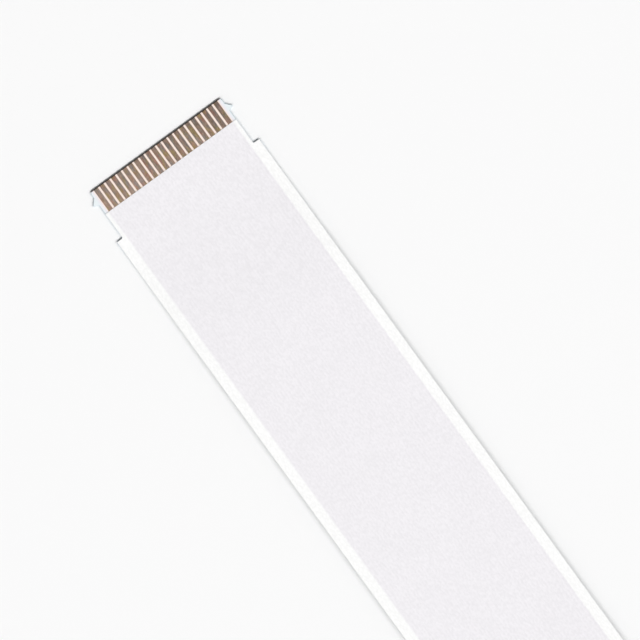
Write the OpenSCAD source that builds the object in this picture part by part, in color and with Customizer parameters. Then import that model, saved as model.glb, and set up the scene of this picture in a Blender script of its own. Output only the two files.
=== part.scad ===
// Flat flexible cable: flat tinned conductors side by side between two polyester
// films, with a stiffened, eared contact tongue at each end.
//
// X runs along the cable, Y across it and Z up through its layers.  The origin is
// the middle of the cable, on the plane that the two stiffeners rest on.  The bare
// contacts of both ends face up.

/* [Cable] */
// Number of conductors side by side
ways = 22; // [4:1:40]
// Length of the cable from tip to tip
cable_length = 152; // [80:1:300]
// How far each side of the cable stands out past the contact tongues
shoulder_width = 1; // [0.5:0.05:2]

/* [Conductors] */
// Distance between the middles of neighbouring conductors
pitch = 1; // [0.9:0.05:1.3]
// Width of each flat conductor
conductor_width = 0.7; // [0.4:0.05:0.75]
// Thickness of each flat conductor, which is also the diameter of its rolled edges
conductor_thickness = 0.1; // [0.04:0.01:0.16]

/* [Films] */
// Thickness of each film with its adhesive, over a conductor
film_thickness = 0.06; // [0.04:0.005:0.1]
// How far each film's face dips between the conductors and beside them
groove_depth = 0.025; // [0.01:0.005:0.05]
// Width of the slope from a conductor's ridge down to the groove beside it
ridge_slope = 0.06; // [0.03:0.005:0.07]

/* [Contact tongues] */
// Length of each tongue, from its tip to the shoulders of the cable
tongue_length = 8; // [6:0.25:12]
// Distance from the outermost conductors' middles to the sides of a tongue
tongue_edge = 1; // [0.7:0.05:1.6]
// Length of bare conductor at each tip, where the top film stops short
bare_length = 3.8; // [3:0.1:6]
// Bevel of the tip's corners, along the cable
tip_bevel_length = 0.45; // [0.1:0.05:0.7]
// Bevel of the tip's corners, across the cable
tip_bevel_width = 0.15; // [0.05:0.05:0.4]
// Radius of the inner corner where a tongue meets a shoulder
notch_radius = 0.2; // [0.05:0.05:0.45]

/* [Locking ears] */
// Distance from the tip to the start of each ear's ramp
ear_start = 1.05; // [0.75:0.05:2]
// How far each ear stands out past the side of its tongue
ear_reach = 0.72; // [0.3:0.02:1]
// Length of the ramp that guides each ear past its latch
ear_ramp = 0.8; // [0.4:0.05:1.5]
// Length of the short outermost edge of each ear
ear_land = 0.12; // [0.05:0.01:0.5]
// Length over which each ear falls back behind its land, where the latch bites
ear_back = 0.28; // [0.1:0.02:0.6]

/* [Stiffeners] */
// Thickness of each stiffener under the conductors' ridges
stiffener_thickness = 0.15; // [0.1:0.01:0.3]
// How far each stiffener reaches past the shoulders, so that the notches can't tear
stiffener_reach = 2; // [0.5:0.25:5]

/* [Hidden] */
// Straight faces that stand in for each rolled conductor edge, and for a notch's arc
EDGE_FACES = 6;
// How far a cutting shape reaches past what it cuts
OVERCUT = 1;

// Across the cable
row_width = (ways - 1) * pitch;
tongue_width = row_width + 2 * tongue_edge;
cable_width = tongue_width + 2 * shoulder_width;

// Up through the layers: the films meet halfway up the conductors
ridge_height = conductor_thickness / 2 + film_thickness;
groove_height = ridge_height - groove_depth;
middle_z = stiffener_thickness + ridge_height;
total_height = middle_z + ridge_height;

// Along the cable, from its middle
tip_x = cable_length / 2;
shoulder_x = tip_x - tongue_length;
stiffener_end_x = shoulder_x - stiffener_reach;

function conductor_name(i) = str("conductor_", i < 10 ? "0" : "", i);
function conductor_y(i) = (i - (ways + 1) / 2) * pitch;
function arc(centre, radius, from, to) =
    [for (s = [0:EDGE_FACES]) let (a = from + (to - from) * s / EDGE_FACES)
        centre + radius * [cos(a), sin(a)]];

// ---------------------------------------------------------------- cut outline

// One quarter of the outline seen from above, from the shoulder out to the tip:
// shoulder, filleted notch, tongue side, locking ear, and the bevelled tip corner.
function quarter_outline() =
    let (side = tongue_width / 2,
         land_x = tip_x - ear_start - ear_ramp)
    concat(
        [[shoulder_x, cable_width / 2]],
        arc([shoulder_x + notch_radius, side + notch_radius], notch_radius, 180, 270),
        [[land_x - ear_land - ear_back, side],
         [land_x - ear_land, side + ear_reach],
         [land_x, side + ear_reach],
         [tip_x - ear_start, side],
         [tip_x - tip_bevel_length, side],
         [tip_x, side - tip_bevel_width]]);

// The whole outline that the die cuts: the quarter, mirrored end for end and
// side for side.
module cut_outline() {
    quarter = quarter_outline();
    back = [for (i = [len(quarter) - 1:-1:0]) quarter[i]];
    polygon(concat(
        quarter,
        [for (p = back) [p.x, -p.y]],
        [for (p = quarter) [-p.x, -p.y]],
        [for (p = back) [-p.x, p.y]]));
}

// A column with the cut outline, tall enough to trim any layer.
module die() {
    translate([0, 0, -OVERCUT])
        linear_extrude(height = total_height + 2 * OVERCUT) cut_outline();
}

// ------------------------------------------------------------- cross-sections
// Each section is drawn in the plane across the cable: its x is the row's Y and
// its y is the height above the plane where the two films meet.

// A flat conductor with rolled, half-round edges.
module conductor_section() {
    radius = conductor_thickness / 2;
    flat = conductor_width / 2 - radius;
    polygon(concat(arc([flat, 0], radius, -90, 90), arc([-flat, 0], radius, 90, 270)));
}

// The laminate's top face: a ridge over every conductor and a groove beside it.
function ridge_line() =
    concat(
        [[-cable_width / 2, groove_height]],
        [for (i = [1:ways], step = [[-1, 0], [-1, 1], [1, 1], [1, 0]])
            [conductor_y(i) + step[0] * (conductor_width / 2 + (1 - step[1]) * ridge_slope),
             groove_height + step[1] * groove_depth]],
        [[cable_width / 2, groove_height]]);

// The upper half of the laminate, with the top half of every conductor left out.
module film_section() {
    difference() {
        polygon(concat(ridge_line(), [[cable_width / 2, 0], [-cable_width / 2, 0]]));
        for (i = [1:ways]) translate([conductor_y(i), 0]) conductor_section();
    }
}

// The stiffener with its adhesive: flat below, and its upper face takes the ridges
// of the film that it is stuck to.
module stiffener_section() {
    polygon(concat(
        [for (p = ridge_line()) [p.x, -p.y]],
        [[cable_width / 2, -middle_z], [-cable_width / 2, -middle_z]]));
}

// Runs a section along the cable between two distances from its middle.
module run_along(from, to) {
    translate([from, 0, middle_z]) rotate([90, 0, 90])
        linear_extrude(height = to - from) children();
}

// ---------------------------------------------------------------- the pieces

module conductor(i) {
    color("#9a8878")
        run_along(-tip_x, tip_x) translate([conductor_y(i), 0]) conductor_section();
}

module bottom_film() {
    color("#f6f6f5") intersection() {
        run_along(-tip_x, tip_x) mirror([0, 1]) film_section();
        die();
    }
}

module top_film() {
    color("#fbfbfa") intersection() {
        run_along(bare_length - tip_x, tip_x - bare_length) film_section();
        die();
    }
}

// end is -1 for the near tongue and 1 for the far one
module stiffener(end) {
    color("#b9dcec") intersection() {
        run_along(min(end * tip_x, end * stiffener_end_x),
                  max(end * tip_x, end * stiffener_end_x)) stiffener_section();
        die();
    }
}

bottom_film();
top_film();
stiffener(-1);  // near_stiffener
stiffener(1);  // far_stiffener
for (i = [1:ways]) {
    conductor(i);
}
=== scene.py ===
"""Dresses a flat flexible cable: its two white films, the row of flat tinned
conductors between them, and the light blue stiffener under each contact tongue.

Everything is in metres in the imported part's frame: X along the cable, Y across it,
Z up through its layers, with the stiffeners lying on z = 0.
"""

import math

import bmesh
import bpy
from bpy.props import (
    FloatProperty, FloatVectorProperty, IntProperty, PointerProperty,
)
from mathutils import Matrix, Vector


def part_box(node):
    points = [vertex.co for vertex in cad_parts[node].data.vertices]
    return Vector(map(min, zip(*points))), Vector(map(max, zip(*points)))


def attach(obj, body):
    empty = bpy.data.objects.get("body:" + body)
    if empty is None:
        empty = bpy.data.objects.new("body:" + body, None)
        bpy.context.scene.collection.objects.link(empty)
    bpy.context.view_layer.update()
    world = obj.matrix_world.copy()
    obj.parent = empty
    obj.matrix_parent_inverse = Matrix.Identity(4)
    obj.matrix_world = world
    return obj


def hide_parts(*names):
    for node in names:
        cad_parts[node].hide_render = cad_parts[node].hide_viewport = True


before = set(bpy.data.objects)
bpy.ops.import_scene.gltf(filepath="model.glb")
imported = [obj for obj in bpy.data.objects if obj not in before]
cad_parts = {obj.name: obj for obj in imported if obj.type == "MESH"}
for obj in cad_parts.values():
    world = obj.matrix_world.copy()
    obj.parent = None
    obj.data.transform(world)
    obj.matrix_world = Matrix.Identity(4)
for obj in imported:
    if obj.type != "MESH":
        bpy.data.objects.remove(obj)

bl_info = {
    "name": "Flat flexible cable",
    "version": (1, 0, 0),
    "blender": (4, 5, 0),
    "location": "View3D > Sidebar > Flat Cable",
    "description": "Builds the films, conductors and stiffeners of a flat cable",
    "category": "Object",
}

MM = 0.001


# ------------------------------------------------------------ the cable's sizes

def middle(node):
    """Centre of a CAD node's box."""
    low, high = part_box(node)
    return (low + high) / 2


def span(node):
    """Size of a CAD node's box along X, Y and Z."""
    low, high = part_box(node)
    return high - low


CONDUCTORS = sorted(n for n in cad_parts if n.startswith("conductor_"))
COUNT = len(CONDUCTORS)
PITCH = middle(CONDUCTORS[1]).y - middle(CONDUCTORS[0]).y
LENGTH, WIDTH, THICKNESS = span(CONDUCTORS[0])
MIDDLE_Z = middle(CONDUCTORS[0]).z
TIP_X = LENGTH / 2
FILM_END_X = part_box("top_film")[1].x
RIDGE_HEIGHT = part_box("top_film")[1].z - MIDDLE_Z
STIFFENER_END_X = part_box("far_stiffener")[0].x
ROW_EDGE = (COUNT - 1) / 2 * PITCH + WIDTH / 2


class CableLook(bpy.types.PropertyGroup):
    """Sizes and colours of the cable that a user would change."""

    groove_depth: FloatProperty(
        name="Groove Depth", description="How far the films dip between conductors",
        default=0.02 * MM, unit="LENGTH", precision=6)
    edge_round: FloatProperty(
        name="Edge Round", description="Radius of the cut edges' corners",
        default=0.014 * MM, unit="LENGTH", precision=6)
    bow: FloatProperty(
        name="Bow", description="How far the cable's middle stands up off the table",
        default=0.4 * MM, unit="LENGTH", precision=6)
    ripple: FloatProperty(
        name="Ripple", description="How unevenly the bowed middle lies",
        default=0.1 * MM, unit="LENGTH", precision=6)
    cut_play: FloatProperty(
        name="Cut Play", description="How unevenly the conductors are cut at the tips",
        default=0.02 * MM, unit="LENGTH", precision=6)
    seed: IntProperty(
        name="Seed", description="Seed of the cable's small irregularities", default=7)
    margin_white: FloatVectorProperty(
        name="Margin White", description="Film beside the row of conductors",
        subtype="COLOR", default=(0.988, 0.988, 0.982))
    row_white: FloatVectorProperty(
        name="Row White", description="Film over the row of conductors",
        subtype="COLOR", default=(0.898, 0.879, 0.906))
    bare_white: FloatVectorProperty(
        name="Bare White", description="Lower film beside the row of bare contacts",
        subtype="COLOR", default=(0.84, 0.81, 0.855))
    bare_blue: FloatVectorProperty(
        name="Bare Blue", description="Lower film where the stiffener shines through",
        subtype="COLOR", default=(0.815, 0.872, 0.893))
    glue_cream: FloatVectorProperty(
        name="Glue Cream", description="Lower film between the bare contacts",
        subtype="COLOR", default=(0.93, 0.79, 0.71))
    contact_tin: FloatVectorProperty(
        name="Contact Tin", description="Dull tin of the bare contacts",
        subtype="COLOR", default=(0.298, 0.216, 0.17))
    tin_red: FloatVectorProperty(
        name="Tin Red", description="Copper-tinged patches of the tin",
        subtype="COLOR", default=(0.35, 0.19, 0.145))
    tin_olive: FloatVectorProperty(
        name="Tin Olive", description="Greenish patches of the tin",
        subtype="COLOR", default=(0.305, 0.235, 0.1))
    tin_grey: FloatVectorProperty(
        name="Tin Grey", description="Greyer patches of the tin",
        subtype="COLOR", default=(0.25, 0.225, 0.215))
    # Painted shade at the conductors' ends: partly dark copper burr, mostly the dark
    # shadow line along the tip
    sheared_copper_and_shade: FloatVectorProperty(
        name="Sheared Copper and Shade", description="Ends of the conductors, as cut",
        subtype="COLOR", default=(0.03, 0.02, 0.016))
    # Painted shade along the sheared tip: partly burr, mostly the dark shadow line
    # along the tip, warmed brown
    tip_burr_and_shade: FloatVectorProperty(
        name="Tip Grey", description="Burr where the contact tongue was sheared off",
        subtype="COLOR", default=(0.025, 0.014, 0.01))
    # Painted shade along the stiffeners' cut rim and upright cut faces, over their own
    # blue
    edge_blue_and_shade: FloatVectorProperty(
        name="Edge Blue", description="Cut edges of the stiffeners",
        subtype="COLOR", default=(0.25, 0.4, 0.5))
    cut_shade: FloatProperty(
        name="Cut Shade", description="How much darker the upright cut faces are",
        default=0.15, min=0.0, max=1.0, subtype="FACTOR")
    # Painted shade along the lower film's cut rim over the stiffener, outlining the
    # tongue
    bare_edge_and_shade: FloatVectorProperty(
        name="Bare Edge", description="Cut rim of the lower film, over the stiffener",
        subtype="COLOR", default=(0.4, 0.51, 0.56))
    # Painted shade along the films' cut rim and upright cut faces
    edge_grey_and_shade: FloatVectorProperty(
        name="Edge Grey", description="Cut edges of the films",
        subtype="COLOR", default=(0.89, 0.895, 0.9))
    stiffener_blue: FloatVectorProperty(
        name="Stiffener Blue", description="Light blue of the stiffeners",
        subtype="COLOR", default=(0.36, 0.62, 0.80))


# ----------------------------------------------------------------- node helpers

FLOAT = "NodeSocketFloat"
VECTOR = "NodeSocketVector"
COLOUR = "NodeSocketColor"
GEOMETRY = "NodeSocketGeometry"


class Nodes:
    """Adds linked nodes to a shader or geometry tree."""

    def __init__(self, tree):
        self.tree = tree

    def add(self, kind, links=None, **settings):
        """A node with its settings, and inputs by name or index."""
        node = self.tree.nodes.new(kind)
        for key, value in settings.items():
            setattr(node, key, value)
        for key, value in (links or {}).items():
            self.feed(node, key, value)
        return node

    def feed(self, node, key, value):
        """Links a socket or a node's first output to an input, or sets its value."""
        socket = node.inputs[key]
        if isinstance(value, bpy.types.Node):
            value = value.outputs[0]
        if isinstance(value, bpy.types.NodeSocket):
            self.tree.links.new(value, socket)
        else:
            socket.default_value = value

    def math(self, operation, *values):
        """A math node of that operation."""
        node = self.add("ShaderNodeMath", operation=operation)
        for index, value in enumerate(values):
            self.feed(node, index, value)
        return node.outputs[0]

    def ramp(self, value, from_min, from_max, to_min=0.0, to_max=1.0, smooth=True):
        """Maps a value from one range to another, clamped at both ends."""
        node = self.add(
            "ShaderNodeMapRange",
            {"Value": value, "From Min": from_min, "From Max": from_max,
             "To Min": to_min, "To Max": to_max},
            interpolation_type="SMOOTHSTEP" if smooth else "LINEAR")
        return node.outputs[0]

    def mix(self, factor, first, second):
        """Mixes two colours."""
        node = self.add("ShaderNodeMix", data_type="RGBA")
        self.feed(node, "Factor", factor)
        self.feed(node, 6, first)
        self.feed(node, 7, second)
        return node.outputs[2]


def new_group(name, kind, inputs, outputs):
    """A node group with its sockets, and its input and output nodes."""
    tree = bpy.data.node_groups.new(name, kind)
    for socket_name, socket_type, default in inputs:
        socket = tree.interface.new_socket(
            socket_name, in_out="INPUT", socket_type=socket_type)
        if default is not None:
            socket.default_value = default
    for socket_name, socket_type in outputs:
        tree.interface.new_socket(
            socket_name, in_out="OUTPUT", socket_type=socket_type)
    nodes = Nodes(tree)
    return nodes, nodes.add("NodeGroupInput"), nodes.add("NodeGroupOutput")


# --------------------------------------------------------------- geometry trees

BOW_REACH = 22 * MM
RIPPLE_LENGTH = 32 * MM
PATH_POINTS = 77
ROLLED_PARTS = 4
ROLLED_SHARE = 0.49
CUT_SEED = 11


def row_distance(nodes, across, pitch, count):
    """Distance across the cable from the nearest conductor's middle, and the number
    of that conductor."""
    place = nodes.math("DIVIDE", across, pitch)
    half_row = nodes.math("DIVIDE", nodes.math("SUBTRACT", count, 1.0), 2.0)
    index = nodes.math("ADD", place, half_row)
    nearest = nodes.add("ShaderNodeClamp", {
        "Value": nodes.math("ROUND", index), "Min": 0.0,
        "Max": nodes.math("SUBTRACT", count, 1.0)})
    apart = nodes.math("ABSOLUTE", nodes.math("SUBTRACT", index, nearest))
    return nodes.math("MULTIPLY", apart, pitch), nearest


def lie_group():
    """Bows the cable's middle up a little between its two stiffened ends."""
    nodes, given, result = new_group(
        "Lie of the cable", "GeometryNodeTree",
        [("Geometry", GEOMETRY, None), ("Bow", FLOAT, 0.0), ("Ripple", FLOAT, 0.0),
         ("Seed", FLOAT, 0.0)],
        [("Geometry", GEOMETRY)])
    place = nodes.add("ShaderNodeSeparateXYZ",
                      {0: nodes.add("GeometryNodeInputPosition")})
    along = nodes.math("DIVIDE", place.outputs["X"], RIPPLE_LENGTH)
    noise = nodes.add(
        "ShaderNodeTexNoise",
        {"W": nodes.math("ADD", along, given.outputs["Seed"]), "Scale": 1.0,
         "Detail": 1.0},
        noise_dimensions="1D")
    ripple = nodes.math("MULTIPLY", nodes.math("SUBTRACT", noise.outputs[0], 0.5),
                        given.outputs["Ripple"])
    free = nodes.ramp(nodes.math("ABSOLUTE", place.outputs["X"]),
                      STIFFENER_END_X, STIFFENER_END_X - BOW_REACH)
    height = nodes.math("MULTIPLY", free,
                        nodes.math("ADD", given.outputs["Bow"], ripple))
    moved = nodes.add("GeometryNodeSetPosition", {
        "Geometry": given.outputs["Geometry"],
        "Offset": nodes.add("ShaderNodeCombineXYZ", {"Z": height})})
    nodes.feed(result, 0, moved)
    return nodes.tree


def ridge_tree(lie):
    """Presses a rounded ridge over every conductor into the faces marked for it."""
    nodes, given, result = new_group(
        "Pressed ridges", "GeometryNodeTree",
        [("Geometry", GEOMETRY, None), ("Pitch", FLOAT, PITCH),
         ("Count", FLOAT, COUNT), ("Rise", FLOAT, 0.0), ("Bow", FLOAT, 0.0),
         ("Ripple", FLOAT, 0.0), ("Seed", FLOAT, 0.0),
         ("Material", "NodeSocketMaterial", None)],
        [("Geometry", GEOMETRY)])
    place = nodes.add("ShaderNodeSeparateXYZ",
                      {0: nodes.add("GeometryNodeInputPosition")})
    distance, _ = row_distance(nodes, place.outputs["Y"], given.outputs["Pitch"],
                               given.outputs["Count"])
    turns = nodes.math("DIVIDE", distance, given.outputs["Pitch"])
    swell = nodes.math("COSINE", nodes.math(
        "MULTIPLY", nodes.math("MINIMUM", turns, 0.5), 2 * math.pi))
    swell = nodes.math("MULTIPLY", nodes.math("ADD", swell, 1.0), 0.5)
    marked = nodes.add("GeometryNodeInputNamedAttribute", {"Name": "pressed"},
                       data_type="FLOAT")
    height = nodes.math("MULTIPLY", swell,
                        nodes.math("MULTIPLY", given.outputs["Rise"], marked))
    moved = nodes.add("GeometryNodeSetPosition", {
        "Geometry": given.outputs["Geometry"],
        "Offset": nodes.add("ShaderNodeCombineXYZ", {"Z": height})})
    finish_tree(nodes, given, result, lie, moved)
    return nodes.tree


def finish_tree(nodes, given, result, lie, geometry):
    """Lays the geometry down, realizes it and gives it its material."""
    laid = nodes.add("GeometryNodeGroup", {}, node_tree=lie)
    nodes.feed(laid, "Geometry", geometry)
    for name in ("Bow", "Ripple", "Seed"):
        nodes.feed(laid, name, given.outputs[name])
    real = nodes.add("GeometryNodeRealizeInstances", {"Geometry": laid})
    painted = nodes.add("GeometryNodeSetMaterial", {
        "Geometry": real, "Material": given.outputs["Material"]})
    nodes.feed(result, 0, painted)


def conductor_tree(lie):
    """Runs flat conductors with rolled edges side by side along the cable."""
    nodes, given, result = new_group(
        "Conductor row", "GeometryNodeTree",
        [("Geometry", GEOMETRY, None), ("Pitch", FLOAT, PITCH),
         ("Count", "NodeSocketInt", COUNT), ("Length", FLOAT, LENGTH),
         ("Width", FLOAT, WIDTH), ("Thickness", FLOAT, THICKNESS),
         ("Height", FLOAT, MIDDLE_Z), ("Cut Play", FLOAT, 0.0),
         ("Bow", FLOAT, 0.0), ("Ripple", FLOAT, 0.0), ("Seed", FLOAT, 0.0),
         ("Material", "NodeSocketMaterial", None)],
        [("Geometry", GEOMETRY)])
    half = nodes.math("DIVIDE", given.outputs["Length"], 2.0)
    line = nodes.add("GeometryNodeCurvePrimitiveLine", {
        "Start": nodes.add("ShaderNodeCombineXYZ",
                           {"X": nodes.math("MULTIPLY", half, -1.0)}),
        "End": nodes.add("ShaderNodeCombineXYZ", {"X": half})})
    path = nodes.add("GeometryNodeResampleCurve", {
        "Curve": line, "Count": PATH_POINTS})
    profile = nodes.add("GeometryNodeCurvePrimitiveQuadrilateral", {
        "Width": given.outputs["Width"], "Height": given.outputs["Thickness"]})
    rolled = nodes.add("GeometryNodeFilletCurve", {
        "Curve": profile, "Count": ROLLED_PARTS,
        "Radius": nodes.math("MULTIPLY", given.outputs["Thickness"], ROLLED_SHARE)},
        mode="POLY")
    strip = nodes.add("GeometryNodeCurveToMesh", {
        "Curve": path, "Profile Curve": rolled, "Fill Caps": True})
    start_y = nodes.math("MULTIPLY", given.outputs["Pitch"], nodes.math(
        "DIVIDE", nodes.math("SUBTRACT", 1.0, given.outputs["Count"]), 2.0))
    row = nodes.add("GeometryNodeMeshLine", {
        "Count": given.outputs["Count"],
        "Start Location": nodes.add("ShaderNodeCombineXYZ", {
            "Y": start_y, "Z": given.outputs["Height"]}),
        "Offset": nodes.add("ShaderNodeCombineXYZ", {"Y": given.outputs["Pitch"]})})
    play = nodes.math("DIVIDE", given.outputs["Cut Play"], given.outputs["Length"])
    shortest = nodes.math("SUBTRACT", 1.0, play)
    stretch = nodes.add("FunctionNodeRandomValue", {
        2: shortest, 3: 1.0, "Seed": CUT_SEED}, data_type="FLOAT")
    strips = nodes.add("GeometryNodeInstanceOnPoints", {
        "Points": row, "Instance": strip,
        "Scale": nodes.add("ShaderNodeCombineXYZ", {
            "X": stretch.outputs[1], "Y": 1.0, "Z": 1.0})})
    real = nodes.add("GeometryNodeRealizeInstances", {"Geometry": strips})
    finish_tree(nodes, given, result, lie, real)
    return nodes.tree


def geometry_tree(name, make):
    """The geometry tree of that name, built once around one shared lie."""
    lie = bpy.data.node_groups.get("Lie of the cable") or lie_group()
    return bpy.data.node_groups.get(name) or make(lie)


# ------------------------------------------------------------- mesh from a loft

STATION_STEP = 3 * MM
SHOULDER_LEAN = 0.01 * MM
RIM_WIDTH = 0.1 * MM
OUTSIDE_ROW = 0.2 * MM
SAME_POINT_DIGITS = 7
SHARP_ANGLE = math.radians(35)
PITCH_PARTS = 10
CHANNEL_PARTS = 5


def cut_outline():
    """The die's outline from the near tip to the far one, as (x, half width)."""
    corners = {(round(v.co.x, SAME_POINT_DIGITS), round(v.co.y, SAME_POINT_DIGITS))
               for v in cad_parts["bottom_film"].data.vertices
               if v.co.y > ROW_EDGE + OUTSIDE_ROW}
    points = sorted(corners, key=lambda p: (p[0], p[1] if p[0] < 0 else -p[1]))
    outline = [points[0]]
    for x, half_width in points[1:]:
        outline.append((max(x, outline[-1][0] + SHOULDER_LEAN), half_width))
    return outline


def half_width(outline, x):
    """The outline's half width at x."""
    for (x0, w0), (x1, w1) in zip(outline, outline[1:]):
        if x0 <= x <= x1:
            return w0 + (w1 - w0) * (x - x0) / (x1 - x0)
    return outline[0][1] if x < 0 else outline[-1][1]


def stations(start, end):
    """Where the loft's sections stand between two places, as (x, half width)."""
    outline = cut_outline()
    ends = (start, start + RIM_WIDTH, end - RIM_WIDTH, end)
    corners = sorted([(x, half_width(outline, x)) for x in ends]
                     + [p for p in outline if ends[1] < p[0] < ends[2]])
    placed = []
    for (x0, w0), (x1, w1) in zip(corners, corners[1:]):
        parts = max(1, round((x1 - x0) / STATION_STEP))
        placed += [(x0 + (x1 - x0) * k / parts, w0 + (w1 - w0) * k / parts)
                   for k in range(parts)]
    return placed + [corners[-1]]


def row_centres():
    """The conductors' middles across the cable."""
    return [(i - (COUNT - 1) / 2) * PITCH for i in range(COUNT)]


def ridge_face(z):
    """Points across a face that ridges are pressed into, from -Y to +Y."""
    half = COUNT * PITCH_PARTS // 2
    return [(0, k * PITCH / PITCH_PARTS, z, 1.0) for k in range(-half, half + 1)]


def channel_face(z, side):
    """Points across the plane where the films meet, from -Y to +Y, with half a
    conductor's section let into it above (side 1) or below (side -1)."""
    radius = THICKNESS / 2
    flat = WIDTH / 2 - radius
    arc = [math.pi / 2 * k / CHANNEL_PARTS for k in range(CHANNEL_PARTS + 1)]
    half = [(flat + radius * math.cos(a), side * radius * math.sin(a)) for a in arc]
    section = [(-y, h) for y, h in half] + [(y, h) for y, h in reversed(half)]
    return [(0, centre + y, z + h, 0.0) for centre in row_centres()
            for y, h in section]


def plain_face(z):
    """Points across a flat face, from -Y to +Y."""
    return [(0, y, z, 0.0) for y in (-ROW_EDGE, 0.0, ROW_EDGE)]


def rim(side, low, high, radius):
    """A cut edge's rounded corners from its low face to its high one. Its points'
    y is how far they stand in from the outline."""
    turn = [math.pi / 4 * k for k in range(3)]
    foot = [(side, radius * (1 - math.sin(a)), low + radius * (1 - math.cos(a)), 0.0)
            for a in turn]
    head = [(side, radius * (1 - math.sin(a)), high - radius * (1 - math.cos(a)), 0.0)
            for a in reversed(turn)]
    return [(side, RIM_WIDTH, low, 0.0), *foot, *head, (side, RIM_WIDTH, high, 0.0)]


def loft(name, start, end, lower, upper, radius):
    """A thin solid between two faces, cut to the die's outline. Its vertices say
    whether a ridge is pressed there, and whether they lie on the cut rim."""
    low, high = lower[0][2], upper[0][2]
    section = (lower + rim(1, low, high, radius) + list(reversed(upper))
               + list(reversed(rim(-1, low, high, radius))))
    work = bmesh.new()
    pressed = work.verts.layers.float.new("pressed")
    cut = work.verts.layers.float.new("rim")
    rings = []
    for x, reach in stations(start, end):
        ring = []
        for side, y, z, mark in section:
            vert = work.verts.new((x, side * (reach - y) if side else y, z))
            vert[pressed] = mark
            vert[cut] = float(x in (start, end) or (side != 0 and y < RIM_WIDTH))
            ring.append(vert)
        rings.append(ring)
    for first, second in zip(rings, rings[1:]):
        for k in range(len(section)):
            work.faces.new((first[k - 1], first[k], second[k], second[k - 1]))
    work.faces.new(rings[0])
    work.faces.new(rings[-1])
    bmesh.ops.recalc_face_normals(work, faces=work.faces)
    mesh = bpy.data.meshes.new(name)
    work.to_mesh(mesh)
    work.free()
    return mesh


def bake(name, mesh, tree, values):
    """Runs a geometry tree on a mesh and keeps the result as a plain piece."""
    piece = bpy.data.objects.new(name, mesh)
    bpy.context.scene.collection.objects.link(piece)
    modifier = piece.modifiers.new("Shape", "NODES")
    modifier.node_group = tree
    sockets = {s.name: s for s in tree.interface.items_tree
               if s.item_type == "SOCKET" and s.in_out == "INPUT"}
    for key, value in values.items():
        modifier[sockets[key].identifier] = value
    graph = bpy.context.evaluated_depsgraph_get()
    shaped = bpy.data.meshes.new_from_object(piece.evaluated_get(graph))
    piece.modifiers.clear()
    piece.data = shaped
    shaped.shade_smooth()
    shaped.set_sharp_from_angle(angle=SHARP_ANGLE)
    return piece


def lie_values(look):
    """The inputs of every piece's tree that say how the cable lies."""
    return {"Bow": look.bow, "Ripple": look.ripple, "Seed": float(look.seed)}


def stand_for(piece, nodes):
    """Puts a piece in the place of CAD nodes."""
    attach(piece, "root")
    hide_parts(*nodes)


def ridge_values(look, rise, material):
    """The inputs of the ridge tree for one layer."""
    return {"Rise": rise, "Material": material, **lie_values(look)}


# --------------------------------------------------------------- shader groups

BLACK = (0.0, 0.0, 0.0, 1.0)


def place_group():
    """Where a point lies on the cable, in millimetres, and how far it faces up."""
    nodes, _, result = new_group(
        "Place on the cable", "ShaderNodeTree", [],
        [("Place", VECTOR), ("Across", FLOAT), ("From Tip", FLOAT), ("Offset", FLOAT),
         ("Row", FLOAT), ("Up", FLOAT)])
    coordinates = nodes.add("ShaderNodeTexCoord")
    place = nodes.add("ShaderNodeVectorMath", {0: coordinates.outputs["Object"],
                                               "Scale": 1 / MM}, operation="SCALE")
    parts = nodes.add("ShaderNodeSeparateXYZ", {0: place})
    distance, nearest = row_distance(nodes, parts.outputs["Y"], PITCH / MM,
                                     float(COUNT))
    nodes.feed(result, "Place", place)
    nodes.feed(result, "Across", nodes.math("ABSOLUTE", parts.outputs["Y"]))
    nodes.feed(result, "From Tip", nodes.math(
        "SUBTRACT", TIP_X / MM, nodes.math("ABSOLUTE", parts.outputs["X"])))
    nodes.feed(result, "Offset", distance)
    nodes.feed(result, "Row", nearest)
    facing = nodes.add("ShaderNodeSeparateXYZ", {0: coordinates.outputs["Normal"]})
    nodes.feed(result, "Up", facing.outputs["Z"])
    return nodes.tree


def streak_group():
    """Streaks drawn out along the cable by rolling and slitting."""
    nodes, given, result = new_group(
        "Drawn streaks", "ShaderNodeTree",
        [("Place", VECTOR, None), ("Across Scale", FLOAT, 6.0),
         ("Along Scale", FLOAT, 0.5), ("Detail", FLOAT, 3.0), ("Seed", FLOAT, 0.0)],
        [("Streaks", FLOAT)])
    stretch = nodes.add("ShaderNodeCombineXYZ", {
        "X": given.outputs["Along Scale"], "Y": given.outputs["Across Scale"],
        "Z": 1.0})
    drawn = nodes.add("ShaderNodeVectorMath", {0: given.outputs["Place"], 1: stretch},
                      operation="MULTIPLY")
    noise = nodes.add("ShaderNodeTexNoise", {
        "Vector": drawn, "W": given.outputs["Seed"], "Scale": 1.0,
        "Detail": given.outputs["Detail"]}, noise_dimensions="4D")
    nodes.feed(result, "Streaks", noise.outputs[0])
    return nodes.tree


def cut_edge_group():
    """Painted shade towards the cut rim, standing in for light leaking into the layers
    and for the shade beside the cut, and painted shade on the upright faces of the cut."""
    nodes, given, result = new_group(
        "Cut edge", "ShaderNodeTree",
        [("Paint", COLOUR, None), ("Rim Paint", COLOUR, None), ("Up", FLOAT, 1.0),
         ("Shade", FLOAT, 0.15)],
        [("Paint", COLOUR)])
    rim_mark = nodes.add("ShaderNodeAttribute", attribute_name="rim",
                         attribute_type="GEOMETRY")
    paint = nodes.mix(nodes.ramp(rim_mark.outputs["Fac"], 0.35, 1.0),
                      given.outputs["Paint"], given.outputs["Rim Paint"])
    upright = nodes.ramp(nodes.math("ABSOLUTE", given.outputs["Up"]), 0.6, 0.2)
    shade = nodes.math("MULTIPLY", upright, given.outputs["Shade"])
    nodes.feed(result, "Paint", nodes.mix(shade, paint, BLACK))
    return nodes.tree


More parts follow.
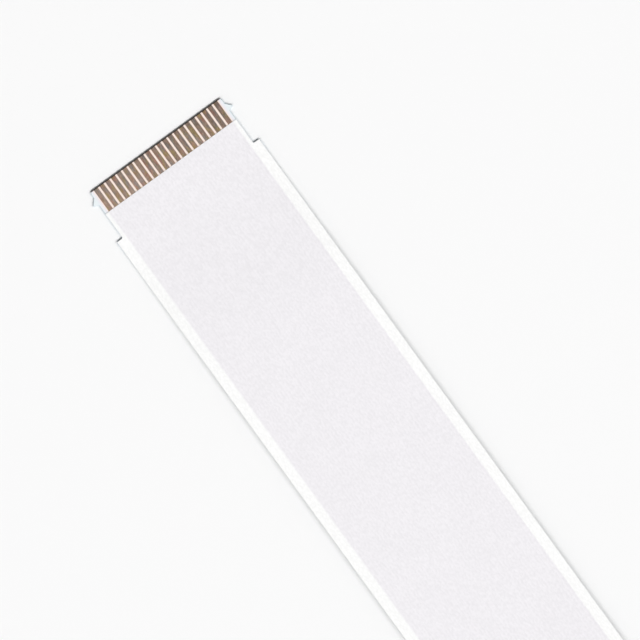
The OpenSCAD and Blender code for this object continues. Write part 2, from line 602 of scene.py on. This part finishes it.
def sheared_tip_group():
    """Painted shade over the last of the way to the tip, which the shears cut: partly a
    dark burr, mostly the dark line of shadow along the tip.
    """
    nodes, given, result = new_group(
        "Sheared tip", "ShaderNodeTree",
        [("Paint", COLOUR, None), ("Tip Paint", COLOUR, None), ("From Tip", FLOAT, 1.0),
         ("Reach", FLOAT, 0.15)],
        [("Paint", COLOUR)])
    half = nodes.math("MULTIPLY", given.outputs["Reach"], 0.5)
    near_tip = nodes.ramp(given.outputs["From Tip"], given.outputs["Reach"], half)
    nodes.feed(result, "Paint", nodes.mix(near_tip, given.outputs["Paint"],
                                          given.outputs["Tip Paint"]))
    return nodes.tree


def add_group(nodes, name, make, **inputs):
    """Places a shader group, built once, with its inputs."""
    tree = bpy.data.node_groups.get(name) or make()
    node = nodes.add("ShaderNodeGroup", node_tree=tree)
    for key, value in inputs.items():
        nodes.feed(node, key.replace("_", " "), value)
    return node


# -------------------------------------------------------------------- materials

# How far the painted shade of the tip's dark line reaches in, on the conductors and on
# the films and stiffener
SHEAR_AND_SHADE_REACH = 0.155 * MM
BURR_AND_SHADE_REACH = 0.15 * MM
# Where a colour fades in, in millimetres outside the row's edge
ROW_FADE = (0.28, -0.05)
GLUE_FADE = (0.21, 0.07)
BARE_FADE = (0.65, 0.2)
# Painted shade where the pressed ridges slope, a quarter pitch out from each
# conductor's middle
SLOPE_SHADE_GREY = (0.3, 0.3, 0.3, 1.0)
SLOPE_SHADE_DEPTH = 0.037
MOTTLE_GREY = (0.5, 0.48, 0.5, 1.0)
MOTTLE_DEPTH = 0.02
SPECKLE_DEPTH = 0.07
# How much the tin's level changes from conductor to conductor, and across the row
OWN_LEVEL = 0.06
ROW_LEVEL = 0.12
# How much it changes along the contact, and by wear and fine scratches
ALONG_LEVEL = 0.1
WORN_LEVEL = 0.2
SCRATCH_LEVEL = 0.3
PATCH_DEPTH = 0.7
BLUE_PLAY = 0.04


def start_material(name):
    """A material with its shader and the node that says where a point lies."""
    material = bpy.data.materials.new(name)
    material.use_nodes = True
    nodes = Nodes(material.node_tree)
    shader = material.node_tree.nodes["Principled BSDF"]
    place = add_group(nodes, "Place on the cable", place_group)
    return material, nodes, shader, place


def streaks(nodes, place, across, along, detail, seed):
    """A streak node on the cable's own millimetres."""
    group = add_group(nodes, "Drawn streaks", streak_group,
                      Place=place.outputs["Place"], Across_Scale=across,
                      Along_Scale=along, Detail=detail, Seed=seed)
    return group.outputs[0]


def colour(values):
    """A colour property with full alpha."""
    return (*values, 1.0)


def cut_edge(nodes, place, paint, rim, look):
    """Paint with the cut edge's painted shade."""
    group = add_group(nodes, "Cut edge", cut_edge_group, Paint=paint,
                      Rim_Paint=colour(rim), Up=place.outputs["Up"],
                      Shade=look.cut_shade)
    return group.outputs[0]


def sheared_tip(nodes, place, paint, tip, reach):
    """Paint with the sheared tip's burr and painted shade."""
    group = add_group(nodes, "Sheared tip", sheared_tip_group, Paint=paint,
                      Tip_Paint=colour(tip), From_Tip=place.outputs["From Tip"],
                      Reach=reach / MM)
    return group.outputs[0]


def within_row(nodes, place, fade):
    """1 over the row of conductors and 0 beside it, fading between two places."""
    edge = ROW_EDGE / MM
    return nodes.ramp(place.outputs["Across"], edge + fade[0], edge + fade[1])


def film_material(look, name, glued_face):
    """White polyester film. glued_face is for the lower film, whose upper face
    shows its adhesive beside and between the bare contacts."""
    material, nodes, shader, place = start_material(name)
    over_row = within_row(nodes, place, ROW_FADE)
    paint = nodes.mix(over_row, colour(look.margin_white), colour(look.row_white))
    # painted shade along the ridges' slopes
    slope_shade = nodes.math("COSINE", nodes.math(
        "MULTIPLY", place.outputs["Offset"], 4 * math.pi * MM / PITCH))
    slope_shade = nodes.ramp(slope_shade, 1.0, -1.0, 0.0, SLOPE_SHADE_DEPTH, False)
    paint = nodes.mix(nodes.math("MULTIPLY", slope_shade, over_row), paint, SLOPE_SHADE_GREY)
    mottle = streaks(nodes, place, 0.22, 0.22, 3.0, 0.0)
    paint = nodes.mix(nodes.ramp(mottle, 0.35, 0.65, 0.0, MOTTLE_DEPTH), paint,
                      MOTTLE_GREY)
    speckle = streaks(nodes, place, 3.6, 2.2, 2.0, 6.0)
    paint = nodes.mix(nodes.ramp(speckle, 0.3, 0.7, 0.0, SPECKLE_DEPTH), paint, BLACK)
    if glued_face:
        glued = nodes.mix(within_row(nodes, place, BARE_FADE),
                          colour(look.bare_blue), colour(look.bare_white))
        glued = nodes.mix(within_row(nodes, place, GLUE_FADE), glued,
                          colour(look.glue_cream))
        paint = nodes.mix(nodes.ramp(place.outputs["Up"], 0.3, 0.7), paint, glued)
        # painted shade along the cut rim, outlining the tongue
        paint = cut_edge(nodes, place, paint, look.bare_edge_and_shade, look)
        # painted shade of the tip's dark line, partly burr
        paint = sheared_tip(nodes, place, paint, look.tip_burr_and_shade, BURR_AND_SHADE_REACH)
    else:
        # painted shade along the cut rim
        paint = cut_edge(nodes, place, paint, look.edge_grey_and_shade, look)
    nodes.feed(shader, "Base Color", paint)
    fine = streaks(nodes, place, 5.0, 0.35, 4.0, 2.0)
    nodes.feed(shader, "Roughness", nodes.ramp(fine, 0.3, 0.7, 0.5, 0.62))
    grain = nodes.add("ShaderNodeTexNoise", {
        "Vector": place.outputs["Place"], "Scale": 9.0, "Detail": 3.0})
    height = nodes.math("ADD", nodes.math("MULTIPLY", fine, 0.5), grain.outputs[0])
    nodes.feed(shader, "Normal", nodes.add("ShaderNodeBump", {
        "Height": height, "Strength": 0.05, "Distance": 0.02 * MM}))
    return material


def contact_material(look):
    """Dull tin on copper: streaks from rolling, a shade of its own on each
    conductor, and painted shade near the sheared end, partly dark copper burr."""
    material, nodes, shader, place = start_material("tinned_copper")
    own = nodes.add("ShaderNodeTexWhiteNoise", {
        "W": nodes.math("ADD", place.outputs["Row"], 0.5)}, noise_dimensions="1D")
    level = 1.0
    for value, start, end, change in (
            (own, 0.0, 1.0, OWN_LEVEL),
            (place.outputs["Row"], 0.0, float(COUNT - 1), -ROW_LEVEL),
            (place.outputs["From Tip"], 0.2, 3.7, ALONG_LEVEL),
            (streaks(nodes, place, 4.5, 1.1, 4.0, 1.0), 0.3, 0.7, WORN_LEVEL),
            (streaks(nodes, place, 9.0, 3.2, 3.0, 21.0), 0.3, 0.7, SCRATCH_LEVEL)):
        level = nodes.math("ADD", level, nodes.ramp(
            value, start, end, -change, change, False))
    paint = colour(look.contact_tin)
    for seed, tint in ((5.0, look.tin_red), (9.0, look.tin_olive),
                       (14.0, look.tin_grey)):
        patch = streaks(nodes, place, 2.0, 0.8, 3.0, seed)
        paint = nodes.mix(nodes.ramp(patch, 0.5, 0.62, 0.0, PATCH_DEPTH), paint,
                          colour(tint))
    scaled = nodes.add("ShaderNodeVectorMath", {0: paint}, operation="SCALE")
    nodes.feed(scaled, "Scale", level)
    # painted shade of the tip's dark line, partly the sheared copper's burr
    paint = sheared_tip(nodes, place, scaled, look.sheared_copper_and_shade, SHEAR_AND_SHADE_REACH)
    nodes.feed(shader, "Base Color", paint)
    shader.inputs["Metallic"].default_value = 1.0
    fine = streaks(nodes, place, 26.0, 1.2, 4.0, 3.0)
    nodes.feed(shader, "Roughness", nodes.ramp(fine, 0.3, 0.7, 0.34, 0.52))
    nodes.feed(shader, "Normal", nodes.add("ShaderNodeBump", {
        "Height": fine, "Strength": 0.25, "Distance": 0.01 * MM}))
    return material


def stiffener_material(look):
    """Light blue polyester, smooth, with faint streaks."""
    material, nodes, shader, place = start_material("blue_polyester")
    faint = streaks(nodes, place, 2.0, 0.3, 3.0, 4.0)
    blue = look.stiffener_blue
    paint = nodes.mix(nodes.ramp(faint, 0.3, 0.7),
                      colour([c * (1 - BLUE_PLAY) for c in blue]),
                      colour([c * (1 + BLUE_PLAY) for c in blue]))
    # painted shade along the cut rim
    paint = cut_edge(nodes, place, paint, look.edge_blue_and_shade, look)
    # painted shade of the tip's dark line, partly burr
    paint = sheared_tip(nodes, place, paint, look.tip_burr_and_shade, BURR_AND_SHADE_REACH)
    nodes.feed(shader, "Base Color", paint)
    nodes.feed(shader, "Roughness", nodes.ramp(faint, 0.3, 0.7, 0.26, 0.36))
    grain = nodes.add("ShaderNodeTexNoise", {
        "Vector": place.outputs["Place"], "Scale": 7.0, "Detail": 3.0})
    nodes.feed(shader, "Normal", nodes.add("ShaderNodeBump", {
        "Height": grain.outputs[0], "Strength": 0.06, "Distance": 0.02 * MM}))
    return material


# ------------------------------------------------------------------- operators

FRAME_WIDTH = 91.12 * MM
LENS = 600.0
SENSOR = 36.0
AIM_FROM_TIP = 33.94 * MM
AIM_ACROSS = 4.36 * MM
TURN = math.radians(54)
FLOOR_HALF = 60.0
FLOOR_DROP = 0.004 * MM
PALE = 0.923
PLAIN_LEVEL = 1.056
STRIP_SHARE = 0.775
FILL_SHARES = {-58.0: 0.048, 58.0: 0.038}
STRIP_AWAY = 16.0
STRIP_HEIGHT = 52.5
STRIP_TURN = -2.0
STRIP_SIZE = (27.0, 6.0)
STRIP_PARTS = 40
FILL_HEIGHT = 20.0
FILL_ANGLE = 36.0


class CABLE_OT_stage(bpy.types.Operator):
    """Add the camera above the contact end, a pale floor and plain soft light"""

    bl_idname = "cable.stage"
    bl_label = "Stage and Camera"

    def execute(self, context):
        self.camera(context)
        self.floor(context)
        self.lights(context)
        context.scene.view_settings.view_transform = "Standard"
        return {"FINISHED"}

    def camera(self, context):
        data = bpy.data.cameras.new("camera")
        data.lens = LENS
        data.sensor_width = SENSOR
        camera = bpy.data.objects.new("camera", data)
        context.scene.collection.objects.link(camera)
        distance = FRAME_WIDTH * LENS / SENSOR
        camera.location = (AIM_FROM_TIP - TIP_X, AIM_ACROSS, distance)
        camera.rotation_euler = (0.0, 0.0, TURN)
        data.clip_start = distance / 10
        data.clip_end = distance * 10
        context.scene.camera = camera

    def floor(self, context):
        mesh = bpy.data.meshes.new("floor")
        corners = [(x * FLOOR_HALF, y * FLOOR_HALF, -FLOOR_DROP)
                   for x, y in ((-1, -1), (1, -1), (1, 1), (-1, 1))]
        mesh.from_pydata(corners, [], [(0, 1, 2, 3)])
        floor = bpy.data.objects.new("floor", mesh)
        context.scene.collection.objects.link(floor)
        material = bpy.data.materials.new("pale_floor")
        material.use_nodes = True
        shader = material.node_tree.nodes["Principled BSDF"]
        shader.inputs["Base Color"].default_value = (PALE, PALE, PALE, 1.0)
        shader.inputs["Roughness"].default_value = 1.0
        shader.inputs["Specular IOR Level"].default_value = 0.0
        mesh.materials.append(material)

    def aim(self, lamp, height, turn, away):
        """Hangs a lamp at a height angle and a turn about Z, facing the cable."""
        height, turn = math.radians(height), math.radians(turn)
        towards = Vector((math.cos(turn) * math.cos(height),
                          math.sin(turn) * math.cos(height), math.sin(height)))
        lamp.rotation_euler = towards.to_track_quat("Z", "Y").to_euler()
        lamp.location = towards * away + Vector((AIM_FROM_TIP - TIP_X, 0.0, 0.0))
        bpy.context.scene.collection.objects.link(lamp)

    def strip_reach(self):
        """Irradiance that each watt of the strip brings to the table."""
        height = math.radians(STRIP_HEIGHT)
        reach = 0.0
        for k in range(STRIP_PARTS):
            aside = STRIP_SIZE[0] * ((k + 0.5) / STRIP_PARTS - 0.5)
            distance = math.hypot(aside, STRIP_AWAY)
            slant = STRIP_AWAY / distance
            reach += slant * slant * math.sin(height) / distance ** 2
        return reach / STRIP_PARTS / math.pi

    def lights(self, context):
        strip = bpy.data.lights.new("strip_softbox", "AREA")
        strip.shape = "RECTANGLE"
        strip.size, strip.size_y = STRIP_SIZE
        holder = bpy.data.objects.new("strip_softbox", strip)
        holder.visible_camera = False
        holder.visible_glossy = False
        self.aim(holder, STRIP_HEIGHT, STRIP_TURN, STRIP_AWAY)
        strip.energy = PLAIN_LEVEL * STRIP_SHARE * math.pi / self.strip_reach()
        for turn, share in FILL_SHARES.items():
            fill = bpy.data.lights.new("low_fill", "SUN")
            fill.energy = (PLAIN_LEVEL * share * math.pi
                           / math.sin(math.radians(FILL_HEIGHT)))
            fill.angle = math.radians(FILL_ANGLE)
            holder = bpy.data.objects.new("low_fill", fill)
            holder.visible_glossy = False
            self.aim(holder, FILL_HEIGHT, turn, STRIP_AWAY)
        world = bpy.data.worlds.new("studio")
        world.use_nodes = True
        context.scene.world = world
        nodes = Nodes(world.node_tree)
        background = world.node_tree.nodes["Background"]
        background.inputs["Color"].default_value = (1.0, 1.0, 1.0, 1.0)
        path = nodes.add("ShaderNodeLightPath")
        seen = nodes.math("ADD", path.outputs["Is Camera Ray"], nodes.math(
            "ADD", path.outputs["Is Glossy Ray"], path.outputs["Is Transmission Ray"]))
        sky = PLAIN_LEVEL * (1 - STRIP_SHARE - sum(FILL_SHARES.values()))
        nodes.feed(background, "Strength", nodes.ramp(
            seen, 0.0, 1.0, sky, PALE * PLAIN_LEVEL, False))


class CABLE_OT_films(bpy.types.Operator):
    """Lay the lower film from tip to tip and the upper one between the contacts"""

    bl_idname = "cable.films"
    bl_label = "Films"

    def execute(self, context):
        look = context.scene.cable_look
        tree = geometry_tree("Pressed ridges", ridge_tree)
        groove = RIDGE_HEIGHT - look.groove_depth
        radius = look.edge_round
        lower = loft("lower_film", -TIP_X, TIP_X,
                     ridge_face(MIDDLE_Z - groove),
                     channel_face(MIDDLE_Z, -1), radius)
        piece = bake("lower_film", lower, tree, ridge_values(
            look, -look.groove_depth, film_material(look, "lower_film", True)))
        stand_for(piece, ["bottom_film"])
        upper = loft("upper_film", -FILM_END_X, FILM_END_X,
                     channel_face(MIDDLE_Z, 1),
                     ridge_face(MIDDLE_Z + groove), radius)
        piece = bake("upper_film", upper, tree, ridge_values(
            look, look.groove_depth, film_material(look, "upper_film", False)))
        stand_for(piece, ["top_film"])
        return {"FINISHED"}


class CABLE_OT_conductors(bpy.types.Operator):
    """Run the row of flat tinned conductors from tip to tip"""

    bl_idname = "cable.conductors"
    bl_label = "Conductors"

    def execute(self, context):
        look = context.scene.cable_look
        tree = geometry_tree("Conductor row", conductor_tree)
        piece = bake("conductor_row", bpy.data.meshes.new("conductor_row"), tree, {
            "Cut Play": look.cut_play, "Material": contact_material(look),
            **lie_values(look)})
        stand_for(piece, CONDUCTORS)
        return {"FINISHED"}


class CABLE_OT_stiffeners(bpy.types.Operator):
    """Stick a light blue stiffener under each contact tongue"""

    bl_idname = "cable.stiffeners"
    bl_label = "Stiffeners"

    def execute(self, context):
        look = context.scene.cable_look
        tree = geometry_tree("Pressed ridges", ridge_tree)
        material = stiffener_material(look)
        top = MIDDLE_Z - RIDGE_HEIGHT + look.groove_depth
        for node in ("near_stiffener", "far_stiffener"):
            low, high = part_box(node)
            name = node.replace("stiffener", "tongue_stiffener")
            mesh = loft(name, low.x, high.x, plain_face(low.z),
                        ridge_face(top), look.edge_round)
            piece = bake(name, mesh, tree, ridge_values(
                look, -look.groove_depth, material))
            stand_for(piece, [node])
        return {"FINISHED"}


class CABLE_OT_declare(bpy.types.Operator):
    """Work out points along the cable's middle, which nothing uses"""

    bl_idname = "cable.declare"
    bl_label = "Cable Facts"

    def execute(self, context):
        line = [(x, 0.0, MIDDLE_Z) for x, _ in stations(-TIP_X, TIP_X)]
        return {"FINISHED"}


class CABLE_PT_panel(bpy.types.Panel):
    """Lists the cable's pieces, sizes and colours"""

    bl_idname = "CABLE_PT_panel"
    bl_label = "Flat Cable"
    bl_space_type = "VIEW_3D"
    bl_region_type = "UI"
    bl_category = "Flat Cable"

    def draw(self, context):
        look = context.scene.cable_look
        for name in CableLook.__annotations__:
            self.layout.prop(look, name)
        for operator in OPERATORS:
            self.layout.operator(operator.bl_idname)


OPERATORS = (CABLE_OT_stage, CABLE_OT_films, CABLE_OT_conductors,
             CABLE_OT_stiffeners, CABLE_OT_declare)
CLASSES = (CableLook, *OPERATORS, CABLE_PT_panel)


def register():
    for cls in CLASSES:
        bpy.utils.register_class(cls)
    bpy.types.Scene.cable_look = PointerProperty(type=CableLook)


def unregister():
    del bpy.types.Scene.cable_look
    for cls in reversed(CLASSES):
        bpy.utils.unregister_class(cls)


def main():
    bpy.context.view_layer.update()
    register()
    bpy.ops.cable.stage()
    bpy.ops.cable.films()
    bpy.ops.cable.conductors()
    bpy.ops.cable.stiffeners()
    bpy.ops.cable.declare()


if __name__ == "__main__":
    main()
